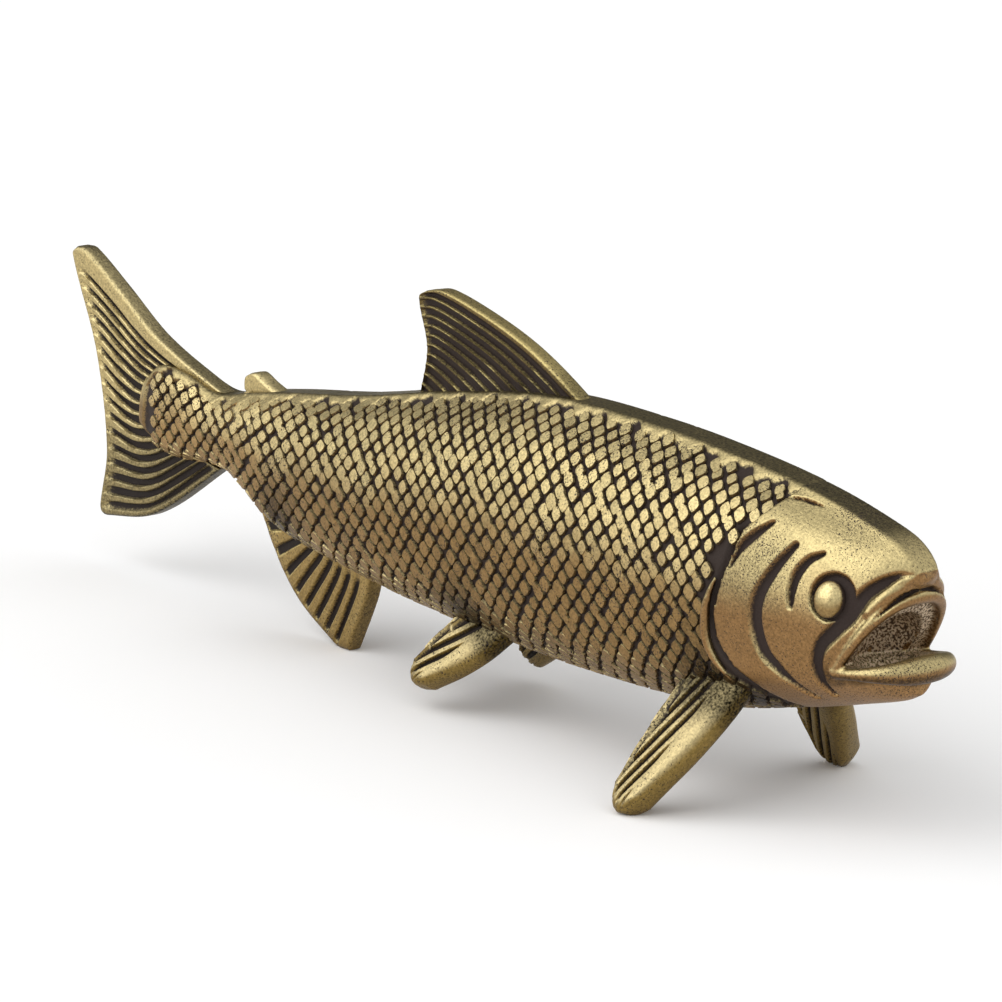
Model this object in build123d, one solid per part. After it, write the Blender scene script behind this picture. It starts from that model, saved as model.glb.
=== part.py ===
"""Cast brass salmon figurine that stands on its pectoral fins and its anal fin.

One solid body casting carries eight separately cast fins, let in with tabs or pegs, and two eye beads.
The nose points along +X, the fish's left side is +Y and +Z is up.
The origin lies on the ground, below the middle of the figurine's length.
"""
import os
from math import atan2, cos, degrees, pi

from build123d import *

# Driving dimensions of the body, in millimetres
body_length = 61.1        # snout to the scaly end of the tail stalk
trunk_height = 14.4       # deepest place of the trunk, belly to back
trunk_width = 10.0        # widest place of the trunk
back_band_width = 1.7     # flat band along the crest of the back, as wide as the fins that stand on it
belly_clearance = 3.8     # ground to the lowest place of the belly
mouth_depth = 3.2         # snout to the corners of the open mouth
mouth_height = 5.6        # belly line to the corners of the mouth
mouth_width = 6.2         # between the two corners of the mouth
upper_lip_rise = 4.2      # corner of the mouth to the front of the upper lip
upper_lip_setback = 0.7   # snout to the middle of the upper lip's bead
lower_lip_rise = 0.6      # corner of the mouth to the front of the lower lip
lip_reach = 0.9           # how far the lower lip stands in front of the snout
lip_bead = 0.9            # thickness of the rolled lips
upper_lip_height = 1.1
lower_lip_height = 1.8    # the lower lip hangs down over the chin
throat_diameter = 4.2     # hollow at the back of the mouth
head_groove_depth = 0.5   # lines cut round the gill covers
gill_groove_width = 0.6   # widest place of the line behind the gill cover
cheek_groove_width = 0.6  # widest place of the lines in front of it

# Driving dimensions of the fins
blade_thickness = 1.1     # tail fin and the fins on the back and belly
paddle_thickness = 1.6    # paired fins
ray_groove_depth = 0.3    # grooves between the fin rays
ray_groove_width = 0.45   # widest place of those grooves
tail_reach = 7.15         # scaly end of the tail stalk to the tip of the upper lobe
tail_root_length = 6.6    # stretch of the tail stalk that the tail fin spreads from
tail_span = 15.5          # lower tip to upper tip of the tail fin
dorsal_length = 13.6      # along the back
dorsal_height = 5.8       # above the back
adipose_length = 3.7
adipose_height = 1.1
anal_length = 10.5        # along the belly
anal_foot_length = 1.0    # flat end that rests on the ground
pectoral_chord = 3.75     # widest place of each paddle
pectoral_spread = 16.3    # between the middles of the two pectoral tips
pectoral_sweep = 1.8      # how far the tips lie behind the roots
pelvic_chord = 3.2
pelvic_spread = 8.8       # between the two pelvic tips
pelvic_sweep = 3.1        # how far the tips lie behind the roots
pelvic_clearance = 1.35   # ground to the pelvic tips

# Driving dimensions of the joints and the eyes
joint_gap = 0.05          # brazing gap round a tab, a peg or a stem, and under a fin
tab_thickness = 0.8
tab_depth = 2.2
tail_tab_height = 2.2     # the tail fin's tab
peg_diameter = 1.1
peg_depth = 2.4
eye_diameter = 1.9
eye_ring_width = 0.35     # recess round each eye
eye_ring_depth = 0.4
eye_stem_diameter = 1.0
eye_stem_depth = 1.5
overrun = 3.0             # how far a cut, or the hidden end of a blade, runs past a surface

# Places along the body, from the scaly end (0) to the snout (1): back height and belly height above
# the belly line as shares of the trunk's height, and half width as a share of the trunk's
body_shares = [
    (0.000, 0.551, 0.326, 0.19),
    (0.020, 0.617, 0.270, 0.27),
    (0.055, 0.622, 0.262, 0.31),
    (0.105, 0.581, 0.287, 0.38),
    (0.150, 0.627, 0.262, 0.47),
    (0.210, 0.682, 0.130, 0.59),
    (0.300, 0.755, 0.070, 0.75),
    (0.410, 0.870, 0.028, 0.90),
    (0.550, 0.983, 0.002, 0.99),
    (0.680, 1.000, 0.008, 1.00),
    (0.790, 0.979, 0.047, 0.96),
    (0.880, 0.938, 0.140, 0.88),
    (0.950, 0.877, 0.228, 0.66),
    (0.985, 0.830, 0.276, 0.44),
    (1.000, 0.797, 0.310, 0.27),
]
section_count = 20
# One flank, from the edge of the back band: shares of the width outside the band, and of the depth
flank_shares = [(0.58, 0.14), (0.92, 0.36), (1.00, 0.56), (0.80, 0.84)]

# Lines on the side of the head: start, middle and end, as shares of the body's length and trunk's height
gill_line_shares = [(0.877, 0.850), (0.822, 0.510), (0.872, 0.240)]
cheek_line_shares = [(0.908, 0.810), (0.869, 0.530), (0.918, 0.320)]
eye_line_shares = [(0.936, 0.795), (0.911, 0.710), (0.906, 0.600)]
eye_place_shares = (0.939, 0.635)

# Places worked out from the sizes
overall_length = tail_reach + body_length + lip_reach
body_rear = tail_reach - overall_length / 2
snout = body_rear + body_length


def along_body(share):
    """X at a share of the body's length."""
    return body_rear + share * body_length


def share_at(x):
    """Share of the body's length at x."""
    return (x - body_rear) / body_length


def body_at(share):
    """Back height, belly height and half width of the body at a share of its length."""
    last = len(body_shares) - 1
    index = next((i for i in range(last) if share <= body_shares[i + 1][0]), last - 1)
    before = body_shares[max(index - 1, 0)]
    start = body_shares[index]
    end = body_shares[index + 1]
    after = body_shares[min(index + 2, last)]
    span = end[0] - start[0]
    step = (share - start[0]) / span
    values = []
    for v0, v1, v2, v3 in zip(before[1:], start[1:], end[1:], after[1:]):
        rise_in = (v2 - v0) / (end[0] - before[0]) * span
        rise_out = (v3 - v1) / (after[0] - start[0]) * span
        turn = 2 * (v1 - v2) + rise_in + rise_out
        bend = 3 * (v2 - v1) - 2 * rise_in - rise_out
        values.append(((turn * step + bend) * step + rise_in) * step + v1)
    top, bottom, width = values
    back = belly_clearance + top * trunk_height
    belly = belly_clearance + bottom * trunk_height
    return back, belly, width * trunk_width / 2


def back_at(x):
    """Height of the back at x."""
    return body_at(share_at(x))[0]


def belly_at(x):
    """Height of the belly at x."""
    return body_at(share_at(x))[1]


def side_point(shares):
    """A place on the side view, from shares of the body's length and of the trunk's height."""
    along, up = shares
    return Vector(along_body(along), belly_clearance + up * trunk_height)


# The body's plain form
def body_section(share, grow):
    """One cross-section of the body: a flat back band and two flanks that meet under the belly."""
    x = along_body(share)
    top, bottom, half_width = body_at(share)
    top += grow
    bottom -= grow
    half_width += grow
    band = min(back_band_width, half_width) / 2
    edges = [Line((x, -band, top), (x, band, top))]
    for side in (1, -1):
        points = [(x, side * band, top)]
        for out, down in flank_shares:
            points.append((x, side * (band + out * (half_width - band)), top - down * (top - bottom)))
        points.append((x, 0, bottom))
        edges.append(Spline(points, tangents=[(0, side, -1), (0, -side, 0)]))
    return make_face(Wire(edges))


def body_form(grow=0.0):
    """The plain body, larger all round by grow, through sections that lie closer towards both ends."""
    shares = [(1 - cos(pi * i / section_count)) / 2 for i in range(section_count + 1)]
    return loft([body_section(share, grow) for share in shares])


def flank_place(shares):
    """The place on the right flank that a place on the side view shows."""
    seen = side_point(shares)
    probe = Line((seen.X, -trunk_width, seen.Y), (seen.X, 0, seen.Y)) & form
    return min((vertex.center() for vertex in probe.vertices()), key=lambda point: point.Y)


def flank_facing(place):
    """The way that the body's surface faces at a place on it."""
    face = min(form.faces(), key=lambda side: side.distance_to(place))
    return face.normal_at(place)


form = body_form()
seat_form = body_form(joint_gap)
engraved_form = body_form(-head_groove_depth)


# Fin blades with their rays, drawn flat
def flat(point):
    """A drawn place without its third coordinate."""
    return Vector(point.X, point.Y)


def lens(start, end, bow):
    """A slim leaf from start to end, with its middle set aside by bow."""
    run = end - start
    across = Vector(-run.Y, run.X).normalized()
    middle = (start + end) / 2 + across * bow
    upper = ThreePointArc(start, middle + across * ray_groove_width / 2, end)
    lower = ThreePointArc(end, middle - across * ray_groove_width / 2, start)
    return make_face([upper, lower])


def ray_lines(roots, tips, count, reach_shares):
    """Lines from one curve to another, evenly spread along both, that start and stop short of them."""
    near, far = reach_shares
    lines = []
    for i in range(count):
        share = (2 * i + 1) / (2 * count)
        root = flat(roots @ share)
        run = flat(tips @ share) - root
        lines.append((root + run * near, root + run * far))
    return lines


def fin_blade(outline, lines, bow_share, thickness):
    """A flat blade from its outline, with leaf-shaped grooves between the rays on both faces."""
    blade = extrude(make_face(outline), thickness / 2, both=True)
    floor = thickness / 2 - ray_groove_depth
    grooves = []
    for start, end in lines:
        leaf = lens(start, end, bow_share * (end - start).length)
        groove = extrude(Pos(0, 0, floor) * leaf, overrun, dir=(0, 0, 1))
        grooves += [groove, mirror(groove, Plane.XY)]
    return blade - grooves if grooves else blade


def upright(drawing):
    """A flat drawing stood up in the plane that halves the fish."""
    return Plane.XZ * drawing


def tab_and_slot(corners):
    """A tab through the given corners, and the slot that takes it with a brazing gap all round."""
    outline = make_face(Polyline(corners, close=True))
    tab = extrude(outline, tab_thickness / 2, both=True)
    slot = extrude(offset(outline, joint_gap), tab_thickness / 2 + joint_gap, both=True)
    return upright(tab), upright(slot)


# Tail fin: a fork that spreads from the tail stalk, with its tab in a slot in the stalk's end
tail_tip = -overall_length / 2
tail_length = tail_reach + tail_root_length
stalk_middle = (back_at(tail_tip + tail_length) + belly_at(tail_tip + tail_length)) / 2
tail_upper_shares = [(1.000, 0.139), (0.583, 0.264), (0.300, 0.410), (0.090, 0.516)]
tail_rear_shares = [(0.000, 0.480), (0.184, 0.132), (0.268, -0.210), (0.236, -0.430)]
tail_lower_shares = [(0.272, -0.468), (0.583, -0.400), (1.000, -0.145)]
tail_ray_root_shares = [(0.620, 0.200), (0.470, 0.020), (0.620, -0.180)]
tail_ray_reach_shares = (0.05, 0.95)
tail_ray_count = 14


def tail_point(shares):
    """A place on the tail fin: share of its length from the tip, share of its span from its middle."""
    along, up = shares
    return Vector(tail_tip + along * tail_length, stalk_middle + up * tail_span)


tail_upper = Spline([tail_point(shares) for shares in tail_upper_shares])
tail_rear = Spline([tail_point(shares) for shares in tail_rear_shares])
tail_lower = Spline([tail_point(shares) for shares in tail_lower_shares])
tail_outline = [
    tail_upper,
    TangentArc(tail_upper @ 1, tail_rear @ 0, tangent=tail_upper % 1),
    tail_rear,
    TangentArc(tail_rear @ 1, tail_lower @ 0, tangent=tail_rear % 1),
    tail_lower,
    Line(tail_lower @ 1, tail_upper @ 0),
]
tail_ray_roots = ThreePointArc(*[tail_point(shares) for shares in tail_ray_root_shares])
tail_rays = ray_lines(tail_ray_roots, tail_rear, tail_ray_count, tail_ray_reach_shares)
tail_tab, tail_slot = tab_and_slot([
    Vector(body_rear - tab_depth / 2, stalk_middle - tail_tab_height / 2),
    Vector(body_rear + tab_depth, stalk_middle - tail_tab_height / 2),
    Vector(body_rear + tab_depth, stalk_middle + tail_tab_height / 2),
    Vector(body_rear - tab_depth / 2, stalk_middle + tail_tab_height / 2),
])
caudal_fin = upright(fin_blade(tail_outline, tail_rays, 0, blade_thickness)) - seat_form + tail_tab

# Fins on the back: a tall dorsal fin, and a small fleshy adipose fin before the tail
tab_station_shares = (0.18, 0.36, 0.54, 0.72)
tab_hold_share = 0.25


def fin_point(place_share, length, shares, surface, height):
    """A place on a fin of the back or belly: share of its length, and share of its height off the surface."""
    along, off = shares
    x = along_body(place_share) + along * length
    return Vector(x, surface(x) + off * height)


def set_fin(outline, lines, bow_share, tab_corners):
    """A blade whose foot follows the body, with its tab, and the slot in the body that takes the tab."""
    tab, slot = tab_and_slot(tab_corners)
    return upright(fin_blade(outline, lines, bow_share, blade_thickness)) - seat_form + tab, slot


def back_fin(place_share, length, height, lead_shares, rear_shares):
    """The rear edge and the whole outline of a fin that stands on the back."""
    lead = Spline([fin_point(place_share, length, shares, back_at, height) for shares in lead_shares])
    rear = Spline([fin_point(place_share, length, shares, back_at, height) for shares in rear_shares])
    sunk = Vector(0, -tab_depth)
    outline = [
        lead,
        TangentArc(lead @ 1, rear @ 0, tangent=lead % 1),
        rear,
        Polyline(rear @ 1, rear @ 1 + sunk, lead @ 0 + sunk, lead @ 0),
    ]
    return rear, outline


def surface_tab(place_share, length, surface, side):
    """Outline of a tab that follows the back or the belly: side is 1 on the back and -1 on the belly."""
    stations = [along_body(place_share) + share * length for share in tab_station_shares]
    line = [Vector(x, surface(x)) for x in stations]
    inward = Vector(0, -side * tab_depth)
    outward = Vector(0, side * tab_depth * tab_hold_share)
    return [point + inward for point in line] + [point + outward for point in reversed(line)]


dorsal_place_share = 0.377
dorsal_lead_shares = [(1.00, -0.06), (0.63, 0.40), (0.35, 0.725), (0.10, 0.960)]
dorsal_rear_shares = [(-0.045, 0.92), (0.02, 0.42), (-0.01, -0.06)]
dorsal_ray_root_shares = [(0.97, 0.02), (0.22, 0.02)]
dorsal_ray_reach_shares = (0.06, 0.94)
dorsal_ray_count = 9
dorsal_bow_share = -0.07
dorsal_rear, dorsal_outline = back_fin(
    dorsal_place_share, dorsal_length, dorsal_height, dorsal_lead_shares, dorsal_rear_shares)
dorsal_ray_roots = Line(*[
    fin_point(dorsal_place_share, dorsal_length, shares, back_at, dorsal_height)
    for shares in dorsal_ray_root_shares
])
dorsal_fin, dorsal_slot = set_fin(
    dorsal_outline,
    ray_lines(dorsal_ray_roots, dorsal_rear, dorsal_ray_count, dorsal_ray_reach_shares),
    dorsal_bow_share,
    surface_tab(dorsal_place_share, dorsal_length, back_at, 1),
)

adipose_place_share = 0.135
adipose_lead_shares = [(1.00, -0.20), (0.56, 0.42), (0.30, 0.96)]
adipose_rear_shares = [(0.02, 0.80), (0.10, -0.20)]
adipose_outline = back_fin(
    adipose_place_share, adipose_length, adipose_height, adipose_lead_shares, adipose_rear_shares)[1]
adipose_fin, adipose_slot = set_fin(
    adipose_outline, [], 0, surface_tab(adipose_place_share, adipose_length, back_at, 1))

# Anal fin: it reaches from the belly to the ground and ends in a flat foot
anal_place_share = 0.150
anal_rear_shares = [(0.00, 0.05), (0.18, -0.27), (0.42, -0.65), (0.65, -0.90), (0.75, -1.00)]
anal_front_shares = [(0.94, -0.50), (1.00, 0.05)]
anal_ray_root_shares = [(0.03, 0.00), (0.97, 0.00)]
anal_ray_reach_shares = (0.08, 0.93)
anal_ray_count = 9


def anal_point(shares):
    """A place on the anal fin: share of its length from its rear, and share of the way up from the ground."""
    along, off = shares
    x = along_body(anal_place_share) + along * anal_length
    return Vector(x, belly_at(x) * (1 + off))


anal_rear = Spline([anal_point(shares) for shares in anal_rear_shares])
anal_foot = Line(anal_rear @ 1, anal_rear @ 1 + Vector(anal_foot_length, 0))
anal_front = Spline([anal_foot @ 1] + [anal_point(shares) for shares in anal_front_shares])
anal_sunk = Vector(0, tab_depth)
anal_outline = [
    anal_rear,
    anal_foot,
    anal_front,
    Polyline(anal_front @ 1, anal_front @ 1 + anal_sunk, anal_rear @ 0 + anal_sunk, anal_rear @ 0),
]
anal_ray_roots = Line(*[anal_point(shares) for shares in anal_ray_root_shares])
anal_fin, anal_slot = set_fin(
    anal_outline,
    ray_lines(anal_ray_roots, anal_rear, anal_ray_count, anal_ray_reach_shares),
    0,
    surface_tab(anal_place_share, anal_length, belly_at, -1),
)

# Paired fins: paddles that stand out of the lower flanks on a peg
from_base = (Align.CENTER, Align.CENTER, Align.MIN)
from_top = (Align.CENTER, Align.CENTER, Align.MAX)
paddle_rear_shares = [(-0.50, 0.08), (-0.42, 0.55), (-0.27, 0.96)]
paddle_front_shares = [(0.24, 0.98), (0.46, 0.45), (0.50, 0.08)]
paddle_ray_root_shares = [(-0.44, 0.16), (0.08, 0.08)]
paddle_ray_tip_shares = [(-0.42, 0.52), (-0.08, 0.92)]
paddle_ray_reach_shares = (0.0, 1.0)
pectoral_root_shares = (0.816, 0.175)
pectoral_ray_count = 4
pelvic_root_shares = (0.508, 0.060)
pelvic_ray_count = 3


def paddle(root_shares, chord, sweep, spread, tip_height, ray_count):
    """A paired fin of the right side, and the hole in the flank for its peg."""
    seat = flank_place(root_shares)
    tip = Vector(seat.X - sweep, -spread / 2, tip_height)
    run = tip - seat
    length = run.length
    forward = Vector(1, 0, 0)
    frame = Plane(seat, x_dir=forward - run * (run.X / length ** 2), z_dir=forward.cross(run))

    def point(shares):
        across, down = shares
        return Vector(across * chord, down * length)

    rear = Spline([point(shares) for shares in paddle_rear_shares])
    front = Spline([point(shares) for shares in paddle_front_shares])
    sunk = Vector(0, -peg_depth)
    outline = [
        rear,
        TangentArc(rear @ 1, front @ 0, tangent=rear % 1),
        front,
        Polyline(front @ 1, front @ 1 + sunk, rear @ 0 + sunk, rear @ 0),
    ]
    roots = Line(*[point(shares) for shares in paddle_ray_root_shares])
    tips = Line(*[point(shares) for shares in paddle_ray_tip_shares])
    lines = ray_lines(roots, tips, ray_count, paddle_ray_reach_shares)
    blade = frame * fin_blade(outline, lines, 0, paddle_thickness)
    hold = peg_depth / 2
    inward = Plane(seat, z_dir=-run) * Pos(0, 0, -hold)
    peg = inward * Cylinder(peg_diameter / 2, peg_depth + hold, align=from_base)
    hole = inward * Cylinder(peg_diameter / 2 + joint_gap, peg_depth + hold + joint_gap, align=from_base)
    ground = Box(body_length, body_length, overrun, align=from_top)
    return blade - seat_form - ground + peg, hole


pectoral_fin, pectoral_hole = paddle(
    pectoral_root_shares, pectoral_chord, pectoral_sweep, pectoral_spread, 0, pectoral_ray_count)
pelvic_fin, pelvic_hole = paddle(
    pelvic_root_shares, pelvic_chord, pelvic_sweep, pelvic_spread, pelvic_clearance, pelvic_ray_count)

# Eyes: domed beads, each with a stem in a drilled hole and a recess round it
eye_seat = flank_place(eye_place_shares)
eye_out = flank_facing(eye_seat)
eye_frame = Plane(eye_seat - eye_out * eye_ring_depth, z_dir=eye_out)
eye_radius = eye_diameter / 2
eye_dome = split(Sphere(eye_radius), Plane.XY)
eye_stem = Cylinder(eye_stem_diameter / 2, eye_stem_depth, align=from_top)
eye = eye_frame * (Pos(0, 0, joint_gap) * (eye_dome + eye_stem))
eye_recess = eye_frame * (
    Cylinder(eye_radius + eye_ring_width, overrun, align=from_base)
    + Cylinder(eye_stem_diameter / 2 + joint_gap, eye_stem_depth, align=from_top)
)

# Mouth: an open wedge between two rolled lips that meet at its corners, with a hollow throat
mouth_corner = Vector(snout - mouth_depth, 0, belly_clearance + mouth_height)
upper_run = Vector(mouth_depth - upper_lip_setback, 0, upper_lip_rise)
lower_lip_lean = (lower_lip_height - lip_bead) / 2 * lower_lip_rise / mouth_depth
lower_run = Vector(mouth_depth + lip_reach - lip_bead / 2 - lower_lip_lean, 0, lower_lip_rise)


def lip(run, height, side):
    """A rolled lip, turned in an arc from corner to corner of the mouth, with the plate that it edges.

    Side is 1 for a lip that stands above its line and -1 for one that hangs below it.
    """
    frame = Plane(mouth_corner, x_dir=run, z_dir=run.cross(Vector(0, 1, 0)))
    half_width = mouth_width / 2
    radius = (run.length ** 2 + half_width ** 2) / (2 * run.length)
    middle = run.length - radius
    half_turn = degrees(atan2(half_width, -middle))
    stand = side * (height - lip_bead) / 2
    bead = Plane.XZ * Pos(radius, stand) * Rot(0, 0, 90) * SlotOverall(height, lip_bead)
    roll = revolve(Rot(0, 0, -half_turn) * bead, Axis.Z, 2 * half_turn)
    plate = Pos(0, 0, stand) * Cylinder(radius, height - lip_bead * lip_plate_share)
    return frame * Pos(middle, 0) * (roll + plate)


lip_plate_share = 0.5
mouth_reach_share = 1.6
throat_place_share = 0.17
mouth_corners = [mouth_corner + run * mouth_reach_share for run in (Vector(0, 0, 0), lower_run, upper_run)]
mouth_wedge = upright(extrude(
    make_face(Polyline([Vector(point.X, point.Z) for point in mouth_corners], close=True)),
    trunk_width,
    both=True,
))
throat = Pos(mouth_corner + (upper_run + lower_run) * throat_place_share) * Sphere(throat_diameter / 2)

# Lines cut into the sides of the head, as deep everywhere
head_lines = []
for line_shares, width in (
    (gill_line_shares, gill_groove_width),
    (cheek_line_shares, cheek_groove_width),
    (eye_line_shares, cheek_groove_width),
):
    start, middle, end = (side_point(shares) for shares in line_shares)
    crescent = make_face([
        ThreePointArc(start, middle, end),
        ThreePointArc(end, middle + Vector(width, 0), start),
    ])
    head_lines.append(upright(extrude(crescent, trunk_width, both=True)) - engraved_form)

body_casting = form - head_lines - mouth_wedge
body_casting += lip(upper_run, upper_lip_height, 1)
body_casting += lip(lower_run, lower_lip_height, -1)
body_casting -= throat
body_casting -= [tail_slot, dorsal_slot, adipose_slot, anal_slot]
for cut in (pectoral_hole, pelvic_hole, eye_recess):
    body_casting -= [cut, mirror(cut, Plane.XZ)]

# One file for each piece
pieces = {
    "body_casting": body_casting,
    "caudal_fin": caudal_fin,
    "dorsal_fin": dorsal_fin,
    "adipose_fin": adipose_fin,
    "anal_fin": anal_fin,
}
for name, right_piece in (("pectoral_fin", pectoral_fin), ("pelvic_fin", pelvic_fin), ("eye", eye)):
    pieces["right_" + name] = right_piece
    pieces["left_" + name] = mirror(right_piece, Plane.XZ)

os.makedirs("parts", exist_ok=True)
for name, piece in pieces.items():
    export_step(piece, f"parts/{name}.step")
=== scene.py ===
"""Looks of a small cast brass salmon: a scaly trunk, a smooth head, rayed fins and bead eyes.

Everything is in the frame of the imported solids: the nose points along +X, the right side faces -Y, +Z is up.
Sizes are written in millimetres and become metres where a mesh is made.
"""
from math import cos, pi, radians, sin

import bmesh
import bpy
import numpy as np
from mathutils import Matrix, Vector


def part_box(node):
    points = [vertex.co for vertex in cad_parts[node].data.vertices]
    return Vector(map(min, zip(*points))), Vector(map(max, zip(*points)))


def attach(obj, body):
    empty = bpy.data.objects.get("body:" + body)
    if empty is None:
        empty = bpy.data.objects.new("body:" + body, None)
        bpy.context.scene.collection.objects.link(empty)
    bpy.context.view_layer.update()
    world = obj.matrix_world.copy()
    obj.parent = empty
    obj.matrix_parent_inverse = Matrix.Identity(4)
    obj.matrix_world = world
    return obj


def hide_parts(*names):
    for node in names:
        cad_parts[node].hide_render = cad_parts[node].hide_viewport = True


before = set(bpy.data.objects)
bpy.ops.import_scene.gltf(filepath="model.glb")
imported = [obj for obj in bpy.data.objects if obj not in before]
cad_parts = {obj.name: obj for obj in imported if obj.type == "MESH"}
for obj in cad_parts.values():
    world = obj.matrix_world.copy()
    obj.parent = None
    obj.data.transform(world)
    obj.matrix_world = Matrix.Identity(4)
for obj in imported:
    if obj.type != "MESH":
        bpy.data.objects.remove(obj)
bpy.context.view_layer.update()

# Trunk of the body casting: solid cast brass from the gill covers to the tail stalk, in one with the head.
# It shows as the dark floor of the cuts between the scales and as the flat band along its back, whose darkness
# is painted shade.
mm = 0.001
body_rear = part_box("body_casting")[0].x / mm
body_length = 61.1
belly_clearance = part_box("body_casting")[0].z / mm
trunk_height = 14.4
trunk_width = 10.0
back_band_width = 1.7
cut_depth = 0.24  # from the face of a scale down to the floor between scales
rear_rim = 0.3  # how far the bright rim at the end of the stalk stands out
rear_rim_narrowing = 0.28
# Painted highlight: the raised rim at the end of the stalk is painted lighter than the brass.
rear_rim_painted_highlight = 1.1
# Painted shade: the flat band along the back is painted darker.
back_band_painted_shade = -1.1
trunk_end = 0.915  # of the way along the body, hidden in the head
gill_gap_depth = 0.6  # of the groove along the gill cover's edge
head_lap_depths = (0.5, 0.08)  # how far the trunk lies under the head, on the flanks and on the band
body_shares = [
    (0.000, 0.551, 0.326, 0.19), (0.020, 0.617, 0.270, 0.27), (0.055, 0.622, 0.262, 0.31),
    (0.105, 0.581, 0.287, 0.38), (0.150, 0.627, 0.262, 0.47), (0.210, 0.682, 0.130, 0.59),
    (0.300, 0.755, 0.070, 0.75), (0.410, 0.870, 0.028, 0.90), (0.550, 0.983, 0.002, 0.99),
    (0.680, 1.000, 0.008, 1.00), (0.790, 0.979, 0.047, 0.96), (0.880, 0.938, 0.140, 0.88),
    (0.950, 0.877, 0.228, 0.66), (0.985, 0.830, 0.276, 0.44), (1.000, 0.797, 0.310, 0.27),
]
flank_shares = [(0.58, 0.14), (0.92, 0.36), (1.00, 0.56), (0.80, 0.84)]
gill_edge = [
    (27.8, 5.0), (27.2, 5.6), (26.3, 6.6), (25.5, 7.5), (24.4, 8.25), (23.5, 9.25), (23.1, 10.45),
    (23.3, 12.0), (23.6, 14.0), (23.75, 15.2), (24.4, 16.1), (25.1, 17.2), (25.3, 18.2),
]


def smooth_through(places, values, at, first=None, last=None):
    """Values on a smooth curve through the given ones; first and last set its slopes at the ends."""
    places = np.asarray(places, float)
    values = np.asarray(values, float).reshape(len(places), -1)
    slopes = np.empty_like(values)
    slopes[1:-1] = (values[2:] - values[:-2]) / (places[2:] - places[:-2])[:, None]
    slopes[0] = (values[1] - values[0]) / (places[1] - places[0]) if first is None else first
    slopes[-1] = (values[-1] - values[-2]) / (places[-1] - places[-2]) if last is None else last
    at = np.asarray(at, float)
    piece = np.clip(np.searchsorted(places, at) - 1, 0, len(places) - 2)
    span = (places[piece + 1] - places[piece])[:, None]
    t = ((at - places[piece]) / span[:, 0])[:, None]
    start = (2 * t**3 - 3 * t**2 + 1) * values[piece] + (t**3 - 2 * t**2 + t) * span * slopes[piece]
    end = (3 * t**2 - 2 * t**3) * values[piece + 1] + (t**3 - t**2) * span * slopes[piece + 1]
    return start + end


def run_along(points):
    """How far along a line of points each of them lies."""
    steps = np.linalg.norm(np.diff(points, axis=0), axis=1)
    return np.concatenate([[0.0], np.cumsum(steps)])


def ramp(value, low, high):
    """Goes softly from 0 at low to 1 at high."""
    t = np.clip((value - low) / (high - low), 0.0, 1.0)
    return t * t * (3 - 2 * t)


def body_at(share):
    """Height of the back, height of the belly and half width at a place along the body."""
    table = np.array(body_shares)
    top, bottom, width = smooth_through(table[:, 0], table[:, 1:], [share])[0]
    low = belly_clearance
    return low + top * trunk_height, low + bottom * trunk_height, width * trunk_width / 2


def flank(share, count):
    """One flank's outline at a place along the body, evenly spaced from back to belly, and its length."""
    top, bottom, half_width = body_at(share)
    band = min(back_band_width, half_width) / 2
    knots = [(band, top)]
    knots += [(band + out * (half_width - band), top - down * (top - bottom)) for out, down in flank_shares]
    knots = np.array(knots + [(0, bottom)])
    places = run_along(knots)
    fine = smooth_through(places, knots, np.linspace(0, places[-1], 300), (0.707, -0.707), (-1, 0))
    run = run_along(fine)
    even = np.linspace(0, run[-1], count)
    return np.column_stack([np.interp(even, run, fine[:, 0]), np.interp(even, run, fine[:, 1])]), run[-1]


def half_width_at(x, z):
    """Half width of the plain body at a place on its side view."""
    outline = flank(np.clip((x - body_rear) / body_length, 0, 1), 200)[0]
    return np.interp(-z, -outline[:, 1], outline[:, 0])


def on_flank(x, z, side):
    """A place on the plain body: side is -1 on the right and 1 on the left."""
    return Vector((x, side * half_width_at(x, z), z))


def head_behind(z):
    """How far back the head's smooth skin reaches at a height."""
    edge = np.array(gill_edge)
    return np.interp(z, edge[:, 1], edge[:, 0])


def cut_share(x, down, girth):
    """How deep the cuts between the scales are: 1 is full depth, 0 is a worn or plain place."""
    plates = 0.34 + 0.22 * np.sin(2.3 * x) + 0.18 * np.sin(5.1 * x + 1)
    share = ramp(down - plates, 0.0, 0.25) * ramp(girth - down, 0.1, 0.8) * ramp(x - body_rear, 0.25, 0.7)
    worn = np.exp(-((x + 17.5) / 2.6) ** 2 - (down / 2.2) ** 2)
    return share * (1 - 0.85 * worn)


def linear(hex_colour):
    """An sRGB hex colour as the linear colour that a shader reads."""
    parts = [int(hex_colour[i:i + 2], 16) / 255 for i in (1, 3, 5)]
    return [c / 12.92 if c <= 0.04045 else ((c + 0.055) / 1.055) ** 2.4 for c in parts] + [1.0]


def add(tree, kind, inputs, **settings):
    """Adds a node with its settings; each input takes a value or another node's output."""
    made = tree.nodes.new(kind)
    for name, value in settings.items():
        setattr(made, name, value)
    for socket, value in inputs.items():
        if isinstance(value, bpy.types.NodeSocket):
            tree.links.new(value, made.inputs[socket])
        else:
            made.inputs[socket].default_value = value
    return made


def maths(tree, operation, *values):
    """The result of a maths node."""
    return add(tree, "ShaderNodeMath", dict(enumerate(values)), operation=operation).outputs[0]


def eased(tree, value, low, high, start, end):
    """The result of a node that goes softly from start, where a value is low, to end, where it is high."""
    return add(tree, "ShaderNodeMapRange", {0: value, 1: low, 2: high, 3: start, 4: end},
               interpolation_type="SMOOTHSTEP").outputs[0]


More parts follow.
